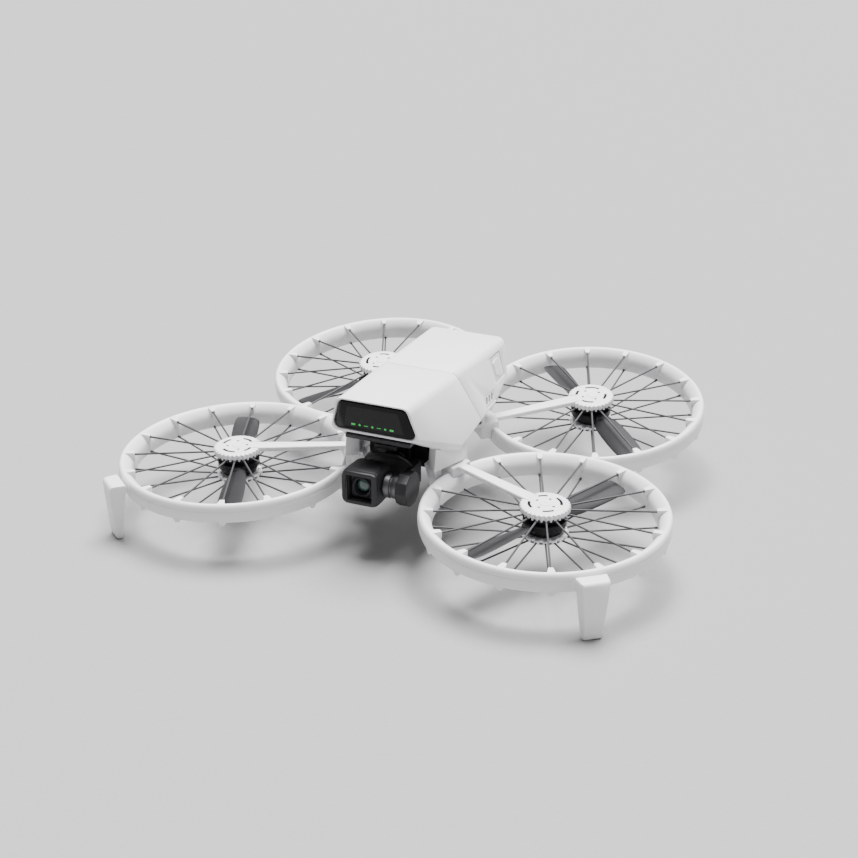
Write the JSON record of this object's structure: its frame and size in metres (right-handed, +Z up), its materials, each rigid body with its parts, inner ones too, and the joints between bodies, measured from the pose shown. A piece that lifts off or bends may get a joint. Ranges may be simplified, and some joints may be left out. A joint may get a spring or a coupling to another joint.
{
  "type": "folding camera drone",
  "caption": "Folding camera drone: fuselage with status window, ring-guarded rotors on folding arms, gimbal camera, slide-out battery.",
  "frame": {"origin": "centre of the footprint at the height of the surface the drone stands on", "axes": "+X to the right of the nose seen from the rear quarter pictured, across the drone (longest extent); nose towards -Y; +Z up (shortest extent)"},
  "size_m": [0.2756, 0.2358, 0.0762],
  "materials": {
    "white_shell": "fine matte moulded plastic",
    "dark_wire": "satin",
    "propeller_plastic": "satin",
    "black_satin": "satin",
    "black_gloss": "gloss",
    "motor_metal": "satin",
    "lens_glass": "coated glass",
    "circuit_board": "solder mask",
    "cell_wrap": "shrink wrap"
  },
  "bodies": {
    "fuselage": {"fuselage_shell": "white_shell", "rear_chassis": "white_shell", "display_window": "black_gloss", "gimbal_mount": "black_satin", "main_board": "circuit_board", "belly_sensor_window": "black_gloss", "tail_foot": "white_shell", "yaw_motor": "motor_metal", "hinge_pin_front_right": "motor_metal", "hinge_pin_rear_right": "motor_metal", "hinge_pin_front_left": "motor_metal", "hinge_pin_rear_left": "motor_metal"},
    "battery": {"battery_case": "white_shell", "battery_cells": "cell_wrap", "side_vent_right": "black_satin", "side_vent_left": "black_satin"},
    "button_right": {"release_button_right": "white_shell"},
    "button_left": {"release_button_left": "white_shell"},
    "gimbal_yaw": {"yaw_arm": "black_satin", "roll_motor": "motor_metal"},
    "gimbal_roll": {"roll_arm": "black_satin", "tilt_motor": "motor_metal"},
    "camera": {"camera_head": "black_satin", "camera_front_frame": "black_satin", "lens_barrel": "black_satin", "lens_glass": "lens_glass"},
    "arm_front_right": {"guard_ring_front_right": "white_shell", "arm_beam_front_right": "white_shell", "top_spokes_front_right": "dark_wire", "bottom_spokes_front_right": "dark_wire", "bottom_hub_front_right": "white_shell", "motor_stator_front_right": "motor_metal", "front_leg_right": "white_shell"},
    "rotor_front_right": {"rotor_bell_front_right": "black_satin", "propeller_front_right": "propeller_plastic"},
    "arm_rear_right": {"guard_ring_rear_right": "white_shell", "arm_beam_rear_right": "white_shell", "top_spokes_rear_right": "dark_wire", "bottom_spokes_rear_right": "dark_wire", "bottom_hub_rear_right": "white_shell", "motor_stator_rear_right": "motor_metal"},
    "rotor_rear_right": {"rotor_bell_rear_right": "black_satin", "propeller_rear_right": "propeller_plastic"},
    "arm_front_left": {"guard_ring_front_left": "white_shell", "arm_beam_front_left": "white_shell", "top_spokes_front_left": "dark_wire", "bottom_spokes_front_left": "dark_wire", "bottom_hub_front_left": "white_shell", "motor_stator_front_left": "motor_metal", "front_leg_left": "white_shell"},
    "rotor_front_left": {"rotor_bell_front_left": "black_satin", "propeller_front_left": "propeller_plastic"},
    "arm_rear_left": {"guard_ring_rear_left": "white_shell", "arm_beam_rear_left": "white_shell", "top_spokes_rear_left": "dark_wire", "bottom_spokes_rear_left": "dark_wire", "bottom_hub_rear_left": "white_shell", "motor_stator_rear_left": "motor_metal"},
    "rotor_rear_left": {"rotor_bell_rear_left": "black_satin", "propeller_rear_left": "propeller_plastic"}
  },
  "joints": [
    {"name": "battery_slide", "type": "slide", "parent": "fuselage", "child": "battery", "axis": [0, 1, 0], "range_m": [0, 0.06]},
    {"name": "release_right", "type": "slide", "parent": "battery", "child": "button_right", "axis": [-1, 0, 0], "range_m": [0, 0.0014], "stiffness_N_per_m": 300, "springref_m": -0.0006},
    {"name": "release_left", "type": "slide", "parent": "battery", "child": "button_left", "axis": [1, 0, 0], "range_m": [0, 0.0014], "stiffness_N_per_m": 300, "springref_m": -0.0006},
    {"name": "gimbal_pan", "type": "hinge", "parent": "fuselage", "child": "gimbal_yaw", "pos_m": [0, -0.055, 0.05], "axis": [0, 0, 1], "range_deg": [-8, 8]},
    {"name": "gimbal_roll", "type": "hinge", "parent": "gimbal_yaw", "child": "gimbal_roll", "pos_m": [0, -0.053, 0.036], "axis": [0, 1, 0], "range_deg": [-18, 18]},
    {"name": "camera_tilt", "type": "hinge", "parent": "gimbal_roll", "child": "camera", "pos_m": [0.0068, -0.073, 0.036], "axis": [1, 0, 0], "range_deg": [-30, 90]},
    {"name": "fold_front_right", "type": "hinge", "parent": "fuselage", "child": "arm_front_right", "pos_m": [0.02261, -0.03741, 0.02945], "axis": [0.2567, 0.9175, 0.3038], "range_deg": [0, 91.5]},
    {"name": "spin_front_right", "type": "hinge", "parent": "arm_front_right", "child": "rotor_front_right", "pos_m": [0.0799, -0.0602, 0.0324], "axis": [0.019, -0.0479, 0.9987], "continuous": true},
    {"name": "fold_rear_right", "type": "hinge", "parent": "fuselage", "child": "arm_rear_right", "pos_m": [0.01436, 0.016, 0.03427], "axis": [-0.4659, 0.8112, -0.3534], "range_deg": [0, 103.5]},
    {"name": "spin_rear_right", "type": "hinge", "parent": "arm_rear_right", "child": "rotor_rear_right", "pos_m": [0.0597, 0.0598, 0.0373], "axis": [0.0248, -0.1357, 0.9904], "continuous": true},
    {"name": "fold_front_left", "type": "hinge", "parent": "fuselage", "child": "arm_front_left", "pos_m": [-0.02261, -0.03741, 0.02945], "axis": [0.2567, -0.9175, -0.3038], "range_deg": [0, 91.5]},
    {"name": "spin_front_left", "type": "hinge", "parent": "arm_front_left", "child": "rotor_front_left", "pos_m": [-0.0799, -0.0602, 0.0324], "axis": [-0.019, -0.0479, 0.9987], "continuous": true},
    {"name": "fold_rear_left", "type": "hinge", "parent": "fuselage", "child": "arm_rear_left", "pos_m": [-0.01436, 0.016, 0.03427], "axis": [-0.4659, -0.8112, 0.3534], "range_deg": [0, 103.5]},
    {"name": "spin_rear_left", "type": "hinge", "parent": "arm_rear_left", "child": "rotor_rear_left", "pos_m": [-0.0597, 0.0598, 0.0373], "axis": [-0.0248, -0.1357, 0.9904], "continuous": true}
  ]
}
